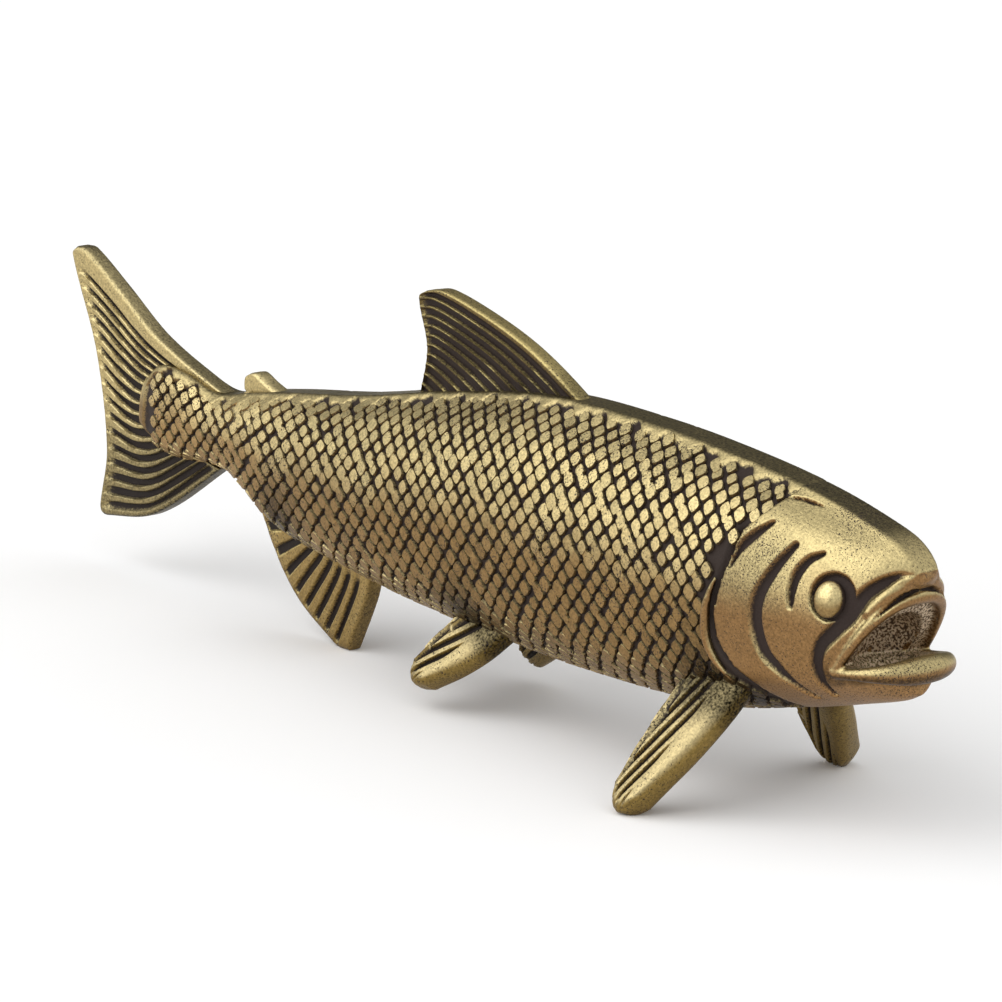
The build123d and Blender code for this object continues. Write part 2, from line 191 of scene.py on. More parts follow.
def antiqued_brass(name, brass, painted_under_colour, patina, roughness, speck_size, specks):
    """Brass that was darkened all over and rubbed bright where it stands proud, which is where rub is 1.

    It is paler where it faces up and browner where it faces down, which is painted light and painted shade,
    and fine dark pits are left all over it.
    Where dust is 1, grey grains lie on it, dirt that also stands in as painted light in a hollow.
    Tone makes it lighter or darker, at random and as painted light and shade.
    """
    grain_size = 0.13
    cloud_size = 3.0
    dust_colour = "#D8C4A8"
    patina_roughness = 0.65
    patina_metallic = 0.25
    material = bpy.data.materials.new(name)
    material.use_nodes = True
    tree = material.node_tree
    shader = tree.nodes["Principled BSDF"]
    place = add(tree, "ShaderNodeTexCoord", {}).outputs["Object"]

    def noise(size, detail):
        return add(tree, "ShaderNodeTexNoise",
                   {"Vector": place, "Scale": 1 / (size * mm), "Detail": detail}).outputs["Fac"]

    def mix(share, first, second):
        return add(tree, "ShaderNodeMix", {0: share, 6: first, 7: second}, data_type="RGBA").outputs[2]

    rub, tone, dust = [add(tree, "ShaderNodeAttribute", {}, attribute_name=key).outputs["Fac"]
                       for key in ("rub", "tone", "dust")]
    grain = noise(grain_size, 3.0)
    cloud = noise(cloud_size, 2.0)
    crowd = maths(tree, "MULTIPLY_ADD", cloud, -0.30, 0.75)
    pit = eased(tree, noise(speck_size, 2.0), crowd, maths(tree, "ADD", crowd, 0.06), 0.0, specks)
    rough_rub = maths(tree, "ADD", rub, maths(tree, "MULTIPLY_ADD", grain, 0.7, -0.35))
    bright = eased(tree, maths(tree, "SUBTRACT", rough_rub, pit), 0.22, 0.80, 0.0, 1.0)
    facing = add(tree, "ShaderNodeNewGeometry", {}).outputs["Normal"]
    upward = add(tree, "ShaderNodeSeparateXYZ", {0: facing}).outputs["Z"]
    # Painted light and shade: paler where it faces up, browner where it faces down.
    painted_up_light = eased(tree, maths(tree, "MULTIPLY_ADD", cloud, 0.3, upward), 0.08, 0.60, 0.0, 1.0)
    metal = mix(painted_up_light, linear(painted_under_colour), linear(brass))
    shade = maths(tree, "MULTIPLY_ADD", tone, 0.5, 1.0)
    mottled = maths(tree, "ADD", shade, maths(tree, "MULTIPLY_ADD", grain, 1.4, -0.70))
    toned = add(tree, "ShaderNodeVectorMath", {0: metal, "Scale": mottled}, operation="SCALE").outputs[0]
    # Grey grains in the mouth: dirt, and painted light in its hollow.
    dusty = eased(tree, grain, 0.42, 0.60, 0.0, dust)
    colour = mix(dusty, mix(bright, linear(patina), toned), linear(dust_colour))
    metallic = maths(tree, "MULTIPLY_ADD", bright, 1 - patina_metallic, patina_metallic)
    dull = maths(tree, "MULTIPLY_ADD", bright, roughness - patina_roughness, patina_roughness)
    uneven = maths(tree, "MULTIPLY_ADD", grain, 0.16, dull)
    bump = add(tree, "ShaderNodeBump", {"Height": grain, "Strength": 0.5, "Distance": 0.04 * mm}).outputs[0]
    tree.links.new(colour, shader.inputs["Base Color"])
    tree.links.new(metallic, shader.inputs["Metallic"])
    tree.links.new(uneven, shader.inputs["Roughness"])
    tree.links.new(bump, shader.inputs["Normal"])
    return material


def new_piece(name, points, faces, material, **attributes):
    """A smooth mesh object from points in millimetres; each attribute gives every point a number."""
    mesh = bpy.data.meshes.new(name)
    mesh.from_pydata((np.asarray(points) * mm).tolist(), [], faces)
    for key, values in attributes.items():
        mesh.attributes.new(key, "FLOAT", "POINT").data.foreach_set("value", np.asarray(values, np.float32))
    mesh.shade_smooth()
    if material:
        mesh.materials.append(material)
    piece = bpy.data.objects.new(name, mesh)
    bpy.context.scene.collection.objects.link(piece)
    return piece


def tube_faces(rings, around):
    """Faces of a skin over closed rings of points, with a fan to one more point over each end."""
    faces = []
    for i in range(rings - 1):
        for j in range(around):
            k = (j + 1) % around
            faces.append((i * around + j, i * around + k, (i + 1) * around + k, (i + 1) * around + j))
    first, last = rings * around, rings * around + 1
    faces += [(first, (j + 1) % around, j) for j in range(around)]
    back = (rings - 1) * around
    faces += [(last, back + j, back + (j + 1) % around) for j in range(around)]
    return faces


def body_ring(share, flank_count, band_count):
    """The body's closed outline at a place along it, how far down the flank its points are, and the girth."""
    side, girth = flank(share, flank_count)
    across = np.linspace(-side[0, 0], side[0, 0], band_count)[1:-1]
    x = body_rear + share * body_length
    right = np.column_stack([np.full(flank_count, x), -side[:, 0], side[:, 1]])
    left = right[-2::-1] * (1, -1, 1)
    band = np.column_stack([np.full(len(across), x), across[::-1], np.full(len(across), side[0, 1])])
    down = np.linspace(0, girth, flank_count)
    return np.vstack([right, left, band]), np.concatenate([down, down[-2::-1], np.zeros(len(across))]), girth


brass_of_trunk = antiqued_brass("antiqued_brass_floor", "#B6A678", "#7C633E", "#2A1D15", 0.36, 0.10, 0.4)
trunk_slices = [body_ring(share, 110, 10) for share in np.linspace(0, trunk_end, 300)]
trunk_rings, trunk_down, trunk_girth = [np.array(part) for part in zip(*trunk_slices)]
along_trunk = np.gradient(trunk_rings, axis=0)
round_trunk = np.roll(trunk_rings, -1, axis=1) - np.roll(trunk_rings, 1, axis=1)
trunk_facing = np.cross(round_trunk, along_trunk)
trunk_facing /= np.linalg.norm(trunk_facing, axis=2, keepdims=True) + 1e-9
trunk_cut = cut_share(trunk_rings[:, :, 0], trunk_down, trunk_girth[:, None])
past_gill = trunk_rings[:, :, 0] - head_behind(trunk_rings[:, :, 2])
gill_gap = ramp(past_gill, -0.75, -0.2) * ramp(trunk_down, 2.5, 4.0) * gill_gap_depth
under_head = ramp(past_gill, -0.15, 0.4) * np.where(trunk_down > 0.3, *head_lap_depths)
trunk_sink = np.maximum(trunk_cut * cut_depth, np.maximum(gill_gap, under_head))
# Painted shade on the trunk's back band.
trunk_painted_shade = back_band_painted_shade * (1 - ramp(trunk_down, 0.05, 0.25))
trunk_skin = trunk_rings - trunk_facing * trunk_sink[:, :, None]
ring_count, ring_size = trunk_skin.shape[:2]
end_rings = []
rear_middle = trunk_skin[0].mean(axis=0)
for turn in (75, 50, 25):
    narrowing = 1 - rear_rim_narrowing * (1 - cos(radians(turn)))
    narrowed = rear_middle + (trunk_skin[0] - rear_middle) * narrowing
    narrowed[:, 0] -= rear_rim * sin(radians(turn))
    end_rings.append(narrowed)
trunk_points = np.vstack(end_rings + list(trunk_skin))
trunk_points = np.vstack([trunk_points, end_rings[0].mean(axis=0), trunk_skin[-1].mean(axis=0)])
trunk_shine = 1 - np.clip(trunk_sink / cut_depth, 0, 1)
rim_size = len(end_rings) * ring_size
trunk = new_piece("trunk", trunk_points, tube_faces(ring_count + len(end_rings), ring_size), brass_of_trunk,
                  rub=np.concatenate([np.ones(rim_size), trunk_shine.ravel(), (1, 0)]),
                  tone=np.concatenate([np.full(rim_size, rear_rim_painted_highlight), trunk_painted_shade.ravel(), (0, 0)]))
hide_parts("body_casting")
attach(trunk, "root")

# Scales: flat-topped pads of the same casting that stand between two sets of slanting cuts.
# They lie in staggered, leaning rows that narrow towards the tail, and here and there two of them have merged.
scale_pitch = [(0.0, 1.00), (0.10, 1.10), (0.25, 1.26), (0.42, 1.10), (0.66, 1.07), (0.90, 0.98)]
scale_rise = [(0.0, 1.00), (0.10, 1.05), (0.25, 1.15), (0.42, 1.24), (0.90, 1.28)]
scale_lean = 0.20  # how far ahead a column of pads moves for each millimetre down
scale_fill = 0.79  # of the way between two cuts that a pad's top takes up
scale_seed = 11
merged_share = 0.15  # of the pads run into the next one down the slant
scale_scatter = 0.035  # of a pad's size that its place is off by
middle_row = 0.45  # of the way down the flank, where the rows are counted from
root_dark_reach = 2.0
root_dark_tone = -1.6
stalk_tone = 0.4
fin_roots = [(22.4, 7.2), (24.5, 6.4), (3.6, 5.6), (-13.0, 7.0)]


def scale_pad(name, side):
    """One pad as wide and long as 1: a leaning, rounded lozenge from a hidden foot to its flat worn top."""
    points, rub = [], []
    for spread, height, shine in ((1.17, -0.30, 0.0), (1.0, 0.0, 0.72)):
        for turn in np.linspace(0, 2 * pi, 12, endpoint=False) + pi / 12:
            reach = scale_fill * spread / (abs(cos(turn)) ** 4 + abs(sin(turn)) ** 4) ** (1 / 4)
            ahead = (cos(turn) + sin(turn)) * reach / 4
            above = (sin(turn) - cos(turn)) * reach / 4
            points.append((ahead - scale_lean * above, -side * above, height))
            rub.append(shine)
    points.append((0, 0, 0.012))
    rub.append(1.0)
    faces = [(k, (k + 1) % 12, 12 + (k + 1) % 12, 12 + k) for k in range(12)]
    faces += [(12 + k, 12 + (k + 1) % 12, 24) for k in range(12)]
    if side > 0:
        faces = [face[::-1] for face in faces]
    pad = new_piece(name, np.array(points), faces, None, rub=rub)
    pad.hide_render = True
    return pad


def scale_places():
    """Rows of a pad's place, facing, way along the body, length, height, tone, and 1 for the right side."""
    chance = np.random.default_rng(scale_seed)
    fine = np.linspace(0, 0.92, 1500)
    pitch = smooth_through(*np.array(scale_pitch).T, fine)[:, 0]
    rise = smooth_through(*np.array(scale_rise).T, fine)[:, 0]
    columns = np.concatenate([[0], np.cumsum(np.diff(fine) * body_length / pitch[1:])])
    rows = []
    for column in np.arange(-3, 2 * columns[-1] + 3):
        share = np.interp(column / 2, columns, fine)
        girth = flank(share, 20)[1]
        step = np.interp(share, fine, pitch)
        tall = np.interp(share, fine, rise)
        middle = middle_row * girth
        for row in range(int(np.ceil(-middle / tall)), int((girth - middle) / tall) + 1):
            for merge in (0, 1):
                if merge and chance.random() > merged_share:
                    continue
                shift = 0.25 * merge + chance.normal(0, scale_scatter)
                lower = row + (column % 2) / 2 + 0.25 * merge + chance.normal(0, scale_scatter)
                down = middle + lower * tall
                x = body_rear + share * body_length + shift * step + scale_lean * (down - middle)
                at = (x - body_rear) / body_length
                if not 0.02 < at < 0.89 or not 0.02 < down / girth < 0.985:
                    continue
                outline = flank(at, 160)[0]
                ahead = flank(at + 0.004, 160)[0] - flank(at - 0.004, 160)[0]
                spot = down / girth * 159
                low = min(int(spot), 157)
                y, z = outline[low] + (outline[low + 1] - outline[low]) * (spot - low)
                if x > head_behind(z) - 0.15 - 0.85 * ramp(15.2 - z, 0, 2) or x < body_rear + 0.4:
                    continue
                tangent = outline[low + 1] - outline[low]
                tangent /= np.linalg.norm(tangent)
                size = (0.62 if merge else 1.0) * chance.normal(1.0, 0.06)
                from_roots = [(x - at_x) ** 2 + (z - at_z) ** 2 for at_x, at_z in fin_roots]
                root_dark = np.exp(-min(from_roots) / root_dark_reach ** 2)
                bright = chance.normal(0, 0.12) + root_dark_tone * root_dark
                bright += stalk_tone * (1 - ramp(x, -18, -10))
                for side in (-1, 1):
                    way = Vector((0.008 * body_length, side * ahead[low][0], ahead[low][1])).normalized()
                    across = Vector((0, side * tangent[0], tangent[1]))
                    facing = (way.cross(across) * side).normalized()
                    stand = Vector((x, side * y, z)) - facing * chance.uniform(0.0, 0.04)
                    rows.append((*stand, *facing, *way, step * size, tall * size, bright, side < 0))
    return np.array(rows)


def begin_tree(name, inputs, output):
    """A geometry node tree with named inputs of given kinds and one named output, and its input sockets."""
    tree = bpy.data.node_groups.new(name, "GeometryNodeTree")
    for label, kind in inputs:
        tree.interface.new_socket(label, in_out="INPUT", socket_type="NodeSocket" + kind)
    tree.interface.new_socket(output, in_out="OUTPUT", socket_type="NodeSocketGeometry")
    return tree, add(tree, "NodeGroupInput", {}).outputs


def end_tree(tree, geometry, material):
    """Ends a geometry node tree with real geometry in one material."""
    real = add(tree, "GeometryNodeRealizeInstances", {0: geometry.outputs[0]})
    finish = add(tree, "GeometryNodeSetMaterial", {0: real.outputs[0], "Material": material})
    add(tree, "NodeGroupOutput", {0: finish.outputs[0]})
    return tree


def noted(tree, names, kind):
    """The outputs of nodes that read named attributes of one kind."""
    return [add(tree, "GeometryNodeInputNamedAttribute", {"Name": name}, data_type=kind).outputs[0]
            for name in names]


def pad_tree():
    """Geometry nodes that set a pad on each place, faced and sized by its numbers and slightly turned."""
    tree, given = begin_tree("scale_rows", (
        ("Places", "Geometry"), ("Right pad", "Object"), ("Left pad", "Object"), ("Tilt", "Float"),
        ("Twist", "Float"), ("Seed", "Int"), ("Finish", "Material")), "Scales")
    facing, way, size = noted(tree, ("facing", "way", "size"), "FLOAT_VECTOR")
    right, = noted(tree, ("right",), "BOOLEAN")
    left = add(tree, "FunctionNodeBooleanMath", {0: right}, operation="NOT").outputs[0]
    stand = add(tree, "FunctionNodeAxesToRotation", {0: facing, 1: way}, primary_axis="Z", secondary_axis="X")
    most = add(tree, "ShaderNodeCombineXYZ", {0: given["Tilt"], 1: given["Tilt"], 2: given["Twist"]})
    least = add(tree, "ShaderNodeVectorMath", {0: most.outputs[0], "Scale": -1.0}, operation="SCALE")
    tilt = add(tree, "FunctionNodeRandomValue",
               {0: least.outputs[0], 1: most.outputs[0], "Seed": given["Seed"]}, data_type="FLOAT_VECTOR")
    turn = add(tree, "FunctionNodeEulerToRotation", {0: tilt.outputs[0]})
    tilted = add(tree, "FunctionNodeRotateRotation", {0: stand.outputs[0], 1: turn.outputs[0]},
                 rotation_space="LOCAL")
    join = add(tree, "GeometryNodeJoinGeometry", {})
    for socket, choice in (("Right pad", right), ("Left pad", left)):
        pad = add(tree, "GeometryNodeObjectInfo", {"Object": given[socket], "As Instance": True})
        stood = add(tree, "GeometryNodeInstanceOnPoints", {
            "Points": given["Places"], "Selection": choice, "Instance": pad.outputs["Geometry"],
            "Rotation": tilted.outputs[0], "Scale": size})
        tree.links.new(stood.outputs[0], join.inputs[0])
    return end_tree(tree, join, given["Finish"])


def worked_out(piece):
    """The mesh that a piece's modifiers give."""
    bpy.context.view_layer.update()
    return bpy.data.meshes.new_from_object(piece.evaluated_get(bpy.context.evaluated_depsgraph_get()))


def bake(piece, tree, values):
    """Runs a node tree on a piece with its named inputs set, and gives the piece the mesh that comes out."""
    modifier = piece.modifiers.new(tree.name, "NODES")
    modifier.node_group = tree
    for item in tree.interface.items_tree:
        if item.in_out == "INPUT" and item.name in values:
            modifier[item.identifier] = values[item.name]
    plain = worked_out(piece)
    piece.modifiers.clear()
    piece.data = plain
    plain.shade_smooth()
    return piece


brass_of_scales = antiqued_brass("antiqued_brass_scales", "#BFAE7E", "#8C7047", "#2A1D15", 0.34, 0.10, 0.5)
right_pad = scale_pad("right_pad", -1)
left_pad = scale_pad("left_pad", 1)
rows = scale_places()
scales = new_piece("scales", rows[:, :3], [], None, tone=rows[:, 11])
pad_size = np.column_stack([rows[:, 9:11], np.ones(len(rows))])
for key, values in (("facing", rows[:, 3:6]), ("way", rows[:, 6:9]), ("size", pad_size)):
    vectors = scales.data.attributes.new(key, "FLOAT_VECTOR", "POINT").data
    vectors.foreach_set("vector", values.astype(np.float32).ravel())
scales.data.attributes.new("right", "BOOLEAN", "POINT").data.foreach_set("value", rows[:, 12] > 0.5)
bake(scales, pad_tree(), {
    "Right pad": right_pad, "Left pad": left_pad, "Tilt": radians(2), "Twist": radians(7), "Seed": scale_seed,
    "Finish": brass_of_scales})
scales.data.set_sharp_from_angle(angle=radians(30))
bpy.data.objects.remove(right_pad)
bpy.data.objects.remove(left_pad)
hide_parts("body_casting")
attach(scales, "root")

# Head of the body casting: smooth skin with fine pits, an open mouth between rolled lips, and cut lines.
# The gill cover's rear edge stands proud of the scales; the lines were cut to one depth and hold dark patina.
mouth_corner = (30.475, 3.1, 9.4)
upper_run = (2.5, 4.2)
lower_run = (3.57, 0.6)
throat_middle = (31.5, 10.2)
throat_radius = 2.1
lip_bend = 2.4  # 2 would make the lips' line an ellipse, more makes it squarer
snout_start = 0.965  # of the way along the body
snout_narrowing = 0.22
snout_drop = 0.5
head_voxel = 0.10
head_lines = [
    ((27.2, 15.1), (26.5, 13.75), (25.95, 12.2), (26.0, 10.75), (26.5, 9.5), (27.4, 8.6), (28.1, 7.9),
     (28.6, 7.3)),
    ((28.9, 15.0), (28.3, 14.6), (27.9, 13.8), (27.85, 13.0), (27.95, 12.2)),
    ((25.3, 15.85), (24.5, 15.0), (24.0, 14.3), (23.7, 13.4)),
    ((24.85, 16.9), (25.9, 16.95), (27.2, 16.85)),
    ((33.65, 14.75), (32.9, 14.55), (31.75, 13.5), (31.2, 12.3), (30.4, 11.3), (29.75, 10.45), (29.55, 9.6),
     (29.65, 8.5), (29.8, 7.7)),
]
head_line_widths = [0.46, 0.30, 0.32, 0.11, 0.48]
head_line_depth = 0.36
gill_strip = [(22.95, 12.6), (22.65, 11.6), (22.5, 10.5), (22.6, 9.3), (23.2, 8.2), (24.1, 7.3)]
eye_middle = (29.95, 12.94)
eye_radius = 0.95
eye_ring_width = 0.40


def mouth_limit(x, y, upper):
    """Height of the mouth's roof or floor: a slope from its corners to a lip, hollowed by the throat."""
    run = upper_run if upper else lower_run
    slope = mouth_corner[2] + (x - mouth_corner[0]) * run[1] / run[0]
    inside = throat_radius ** 2 - (x - throat_middle[0]) ** 2 - y ** 2
    hollow = np.sqrt(np.maximum(inside, 0))
    if upper:
        return np.where(inside > 0, np.maximum(slope, throat_middle[1] + hollow), slope)
    return np.where(inside > 0, np.minimum(slope, throat_middle[1] - hollow), slope)


def head_half(upper):
    """Points and faces of the head above the mouth or of the jaw below it, closed all round."""
    rings = []
    shares = np.concatenate([np.linspace(0.80, snout_start, 60), np.linspace(snout_start, 1.0, 24)[1:]])
    for share in shares:
        ring = body_ring(share, 120, 24)[0]
        blunt = (max(share - snout_start, 0) / (1 - snout_start)) ** 2
        ring[:, 1] *= 1 - snout_narrowing * blunt
        ring[:, 2] -= snout_drop * blunt * ramp(ring[:, 2], 11.0, 14.0)
        width = np.abs(ring[:, 1])
        limit = mouth_limit(ring[:, 0], ring[:, 1], upper)
        beyond = ring[:, 2] < limit if upper else ring[:, 2] > limit
        side = flank(share, 200)[0]
        at_limit = np.interp(-limit, -side[:, 1], side[:, 0], left=0.05, right=0.05)
        at_limit *= 1 - snout_narrowing * blunt
        ring[:, 1] = np.where(beyond, np.sign(ring[:, 1]) * np.minimum(width, at_limit), ring[:, 1])
        ring[:, 2] = np.where(beyond, limit, ring[:, 2])
        rings.append(ring)
    rings = np.array(rings)
    ahead = rings[:, :, 0] - head_behind(rings[:, :, 2])
    first = np.maximum(np.argmax(ahead > 0, axis=0), 1)
    around = np.arange(rings.shape[1])
    part = (ahead[first, around] / (ahead[first, around] - ahead[first - 1, around]))[:, None]
    edge = rings[first, around] * (1 - part) + rings[first - 1, around] * part
    rings = np.where((np.arange(len(rings))[:, None] < first)[:, :, None], edge[None], rings)
    middle = edge.mean(axis=0)
    fill = [middle + (edge - middle) * part for part in np.linspace(0.1, 0.95, 12)]
    rings = np.concatenate([fill, rings])
    ends = [middle, rings[-1].mean(axis=0)]
    return np.vstack([rings.reshape(-1, 3), ends]), tube_faces(len(rings), rings.shape[1])


def lip_line(run, lift, part):
    """A line round one lip, set up or down by lift; part is how much of the way to the corners it goes."""
    across = np.linspace(-1, 1, 61) * part
    forward = (1 - np.abs(across) ** lip_bend) ** (1 / lip_bend)
    x = mouth_corner[0] + run[0] * forward
    z = mouth_corner[2] + run[1] * forward + lift
    return np.column_stack([x, across * mouth_corner[1], z])


def roll(line, radii):
    """A round roll along a line, as thick as radii at each place."""
    way = np.gradient(line, axis=0)
    way /= np.linalg.norm(way, axis=1, keepdims=True)
    side = np.cross(way, (0.0, 0.0, 1.0))
    side /= np.linalg.norm(side, axis=1, keepdims=True)
    up = np.cross(side, way)
    turn = np.linspace(0, 2 * pi, 24, endpoint=False)
    rings = [p + r * (np.outer(np.cos(turn), s) + np.outer(np.sin(turn), u))
             for p, r, s, u in zip(line, radii, side, up)]
    return np.vstack(rings + [line[:1], line[-1:]]), tube_faces(len(line), 24)


def face_outward(mesh, weld=0.0):
    """Turns a closed mesh's faces outward; points that lie within a weld distance become one."""
    shape = bmesh.new()
    shape.from_mesh(mesh)
    if weld:
        bmesh.ops.remove_doubles(shape, verts=shape.verts, dist=weld)
    bmesh.ops.recalc_face_normals(shape, faces=shape.faces)
    shape.to_mesh(mesh)
    shape.free()


def union(name, parts, voxel):
    """One closed skin round several closed parts, as points, faces and facings."""
    points, faces = [], []
    for part_points, part_faces in parts:
        faces += [tuple(v + sum(map(len, points)) for v in face) for face in part_faces]
        points.append(part_points)
    whole = new_piece(name, np.vstack(points), faces, None)
    face_outward(whole.data, 0.0005 * mm)
    remesh = whole.modifiers.new("one_skin", "REMESH")
    remesh.mode = "VOXEL"
    remesh.voxel_size = voxel * mm
    eased = whole.modifiers.new("eased", "SMOOTH")
    eased.factor = 0.5
    eased.iterations = 4
    skin = worked_out(whole)
    points = read(skin.vertices, "co", 3) / mm
    facing = read(skin.vertex_normals, "vector", 3)
    polygons = [tuple(p.vertices) for p in skin.polygons]
    bpy.data.objects.remove(whole)
    return points, polygons, facing


def on_skin(line, count):
    """A line on the side view, laid on the right flank and evenly spaced."""
    line = np.array(line)
    run = run_along(line)
    flat = smooth_through(run, line, np.linspace(0, run[-1], count))
    return np.array([(x, -half_width_at(x, z), z) for x, z in flat])


def read(data, key, width):
    """Numbers that a mesh holds under a key, a row of the given width for each of its items."""
    values = np.empty(len(data) * width)
    data.foreach_get(key, values)
    return values.reshape(-1, width)


across = np.abs(np.linspace(-1, 1, 61))
nose_bulb = np.linspace((33.05, -1.0, 14.45), (33.05, 1.0, 14.45), 21)
lip_parts = [
    roll(lip_line(upper_run, -0.25, 1.0), 0.46 - 0.22 * across ** 2),
    roll(lip_line(upper_run, 0.45, 0.85) - (0.10, 0, 0), 0.46 - 0.28 * across ** 2),
    roll(lip_line(lower_run, -0.28, 1.0) - (0.15, 0, 0), 0.74 - 0.46 * across ** 2),
    roll(nose_bulb, 0.62 - 0.3 * np.linspace(-1, 1, 21) ** 2),
]
strip = on_skin(gill_strip, 40)
strip_radii = 0.10 + 0.17 * np.sin(pi * np.linspace(0, 1, 40))
strip_parts = [roll(strip * (1, side, 1) + (0, 0.10 * side, 0), strip_radii) for side in (1, -1)]
head_points, head_faces, head_facing = union(
    "head", [head_half(True), head_half(False)] + lip_parts + strip_parts, head_voxel)
mirrored = np.abs(head_points) * (0, -1, 0) + head_points * (1, 0, 1)
head_cut = np.zeros(len(head_points))
lip_crease_width = 0.14
lip_crease = (lip_line(upper_run, 0.12, 0.93) + (0.32, 0, 0))[:31]
laid_lines = [on_skin(line, 60) for line in head_lines] + [lip_crease]
for laid, width in zip(laid_lines, head_line_widths + [lip_crease_width]):
    wide = width * (0.45 + 0.55 * np.sin(pi * np.linspace(0.02, 0.98, len(laid))))
    gap = np.linalg.norm(mirrored[:, None, :] - laid[None, :, :], axis=2) / wide[None, :]
    head_cut = np.maximum(head_cut, 1 - ramp(gap.min(axis=1), 0.40, 1.10))
eye_place = np.array((eye_middle[0], -half_width_at(*eye_middle), eye_middle[1]))
from_eye = np.linalg.norm(mirrored - eye_place - (0.22, 0, 0.14), axis=1)
eye_ring = 1 - ramp(from_eye, eye_radius + 0.5 * eye_ring_width, eye_radius + eye_ring_width)
head_cut = np.maximum(head_cut, eye_ring)
head_points = head_points - head_facing * (head_cut * head_line_depth)[:, None]
roof = mouth_limit(mirrored[:, 0], mirrored[:, 1], True)
base = mouth_limit(mirrored[:, 0], mirrored[:, 1], False)
rise = (mirrored[:, 2] - base) / np.maximum(roof - base, 0.05)
lip_reach = lower_run[0] + (upper_run[0] - lower_run[0]) * np.clip(rise, 0, 1)
forward = (mirrored[:, 0] - mouth_corner[0]) / lip_reach
within = np.abs(mirrored[:, 1] / mouth_corner[1]) ** lip_bend + np.maximum(forward, 0) ** lip_bend
mouth_dark = ((roof > base) & (np.abs(rise - 0.5) < 0.60)) * (1 - ramp(within, 0.72, 0.92))
# Painted shade on the flat band along the top of the head; the inside of the mouth is painted lighter, painted
# light in its hollow.
on_band = (np.abs(head_points[:, 1]) < 0.95) & (head_points[:, 2] > 14)
head_painted_shading = back_band_painted_shade * ramp(head_facing[:, 2], 0.80, 0.95) * on_band
head_painted_shading = head_painted_shading * (1 - ramp(head_points[:, 0], 30.5, 32.0)) + 0.6 * mouth_dark
# Painted shade under the lower lip and on the gill cover, and painted light under the chin.
lower_lip = (lip_line(lower_run, -0.28, 1.0) - (0.15, 0, 0))[:31]
from_lip = np.linalg.norm(mirrored[:, None, :] - lower_lip[None, :, :], axis=2).min(axis=1)
lip_shade = (1 - ramp(from_lip, 0.75, 1.05)) * ramp(-head_facing[:, 2], 0.0, 0.35)
gill_shade = (1 - ramp(head_points[:, 0], 26.0, 28.5)) * ramp(np.abs(head_points[:, 2] - 13.4), 2.9, 0.9)
chin_light = 1 - ramp(head_points[:, 2], 8.0, 9.3)
head_painted_shading += 0.4 * chin_light - 0.6 * gill_shade - 1.2 * lip_shade
brass_of_head = antiqued_brass("antiqued_brass_skin", "#B7A778", "#8A6A44", "#2C1E17", 0.31, 0.075, 0.85)
head = new_piece("head", head_points, head_faces, brass_of_head,
                 rub=1 - np.maximum(head_cut, 0.5 * mouth_dark), tone=head_painted_shading, dust=mouth_dark)
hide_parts("body_casting")
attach(head, "root")

# Eyes: two plain beads of polished brass, one on each side of the head.
# Each is pressed into a round seat, with dark patina left in the ring round it.
eye_rise = 0.42
bright_brass = antiqued_brass("polished_brass_bead", "#C6B584", "#8C734A", "#3A2A20", 0.22, 0.14, 0.2)
for eye_name, side in (("right_eye", -1), ("left_eye", 1)):
    x, z = eye_middle
    seat = on_flank(x, z, side)
    ahead = on_flank(x + 0.4, z, side) - seat
    above = on_flank(x, z + 0.4, side) - seat
    outward = ahead.cross(above).normalized()
    if outward.y * side < 0:
        outward = -outward
    level = ahead.normalized()
    upward = outward.cross(level)
    eye_rings = []
    for lift in np.radians((-50, -25, 0, 15, 30, 45, 60, 75, 85)):
        for turn in np.linspace(0, 2 * pi, 40, endpoint=False):
            flat_place = (level * (0.84 * cos(turn)) + upward * sin(turn)) * (cos(max(lift, 0)) * eye_radius)
            eye_rings.append(seat + flat_place + outward * (eye_rise * sin(lift) - 0.05))
    eye_points = np.array([tuple(p) for p in eye_rings])
    eye_ends = [tuple(seat - outward * 0.4), tuple(seat + outward * (eye_rise - 0.05))]
    eye = new_piece(eye_name + "_bead", np.vstack([eye_points, eye_ends]), tube_faces(9, 40), bright_brass,
                    rub=np.concatenate([np.repeat((0, 0, 0.3, 0.75, 1, 1, 1, 1, 1), 40), (0, 1)]),
                    tone=np.zeros(len(eye_points) + 2))
    face_outward(eye.data)
    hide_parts(eye_name)
    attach(eye, "root")

# Tail fin: a cast blade of brass, brazed into the end of the stalk, that forks into two lobes.
# Its rays are ridges between leaf-shaped cuts that run out towards the rear edge.
tail_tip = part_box("caudal_fin")[0].x / mm
tail_length = 13.75
tail_span = 15.5
tail_middle = 10.05
tail_thickness = 1.1
fin_rounding = 0.22  # how far in from its edges an upright fin is rounded
tail_root = [(1.00, 0.139), (0.74, 0.09), (0.60, 0.00), (0.74, -0.09), (1.00, -0.145)]
tail_lead = [(1.00, 0.139), (0.583, 0.264), (0.30, 0.41), (0.09, 0.512), (0.03, 0.512)]
tail_ends = [(0.03, 0.512), (0.00, 0.48), (0.184, 0.132), (0.268, -0.21), (0.236, -0.43), (0.250, -0.462)]
tail_trail = [(1.00, -0.145), (0.583, -0.40), (0.272, -0.468), (0.250, -0.462)]


def line_at(points, at):
    """Places on a smooth line through the points, at shares of its length."""
    points = np.array(points, float)
    run = run_along(points)
    return smooth_through(run / run[-1], points, at)


def eased_steps(size, ease, count):
    """Places from 0 to 1 that crowd towards both ends, and how full the round-edged blade is there."""
    turn = np.linspace(0, pi / 2, 6)
    inset = ease / size * (1 - np.cos(turn))
    places = np.concatenate([inset[:-1], np.linspace(inset[-1], 1 - inset[-1], count), 1 - inset[-2::-1]])
    full = np.concatenate([np.sin(turn)[:-1], np.ones(count), np.sin(turn)[-2::-1]])
    return places, full


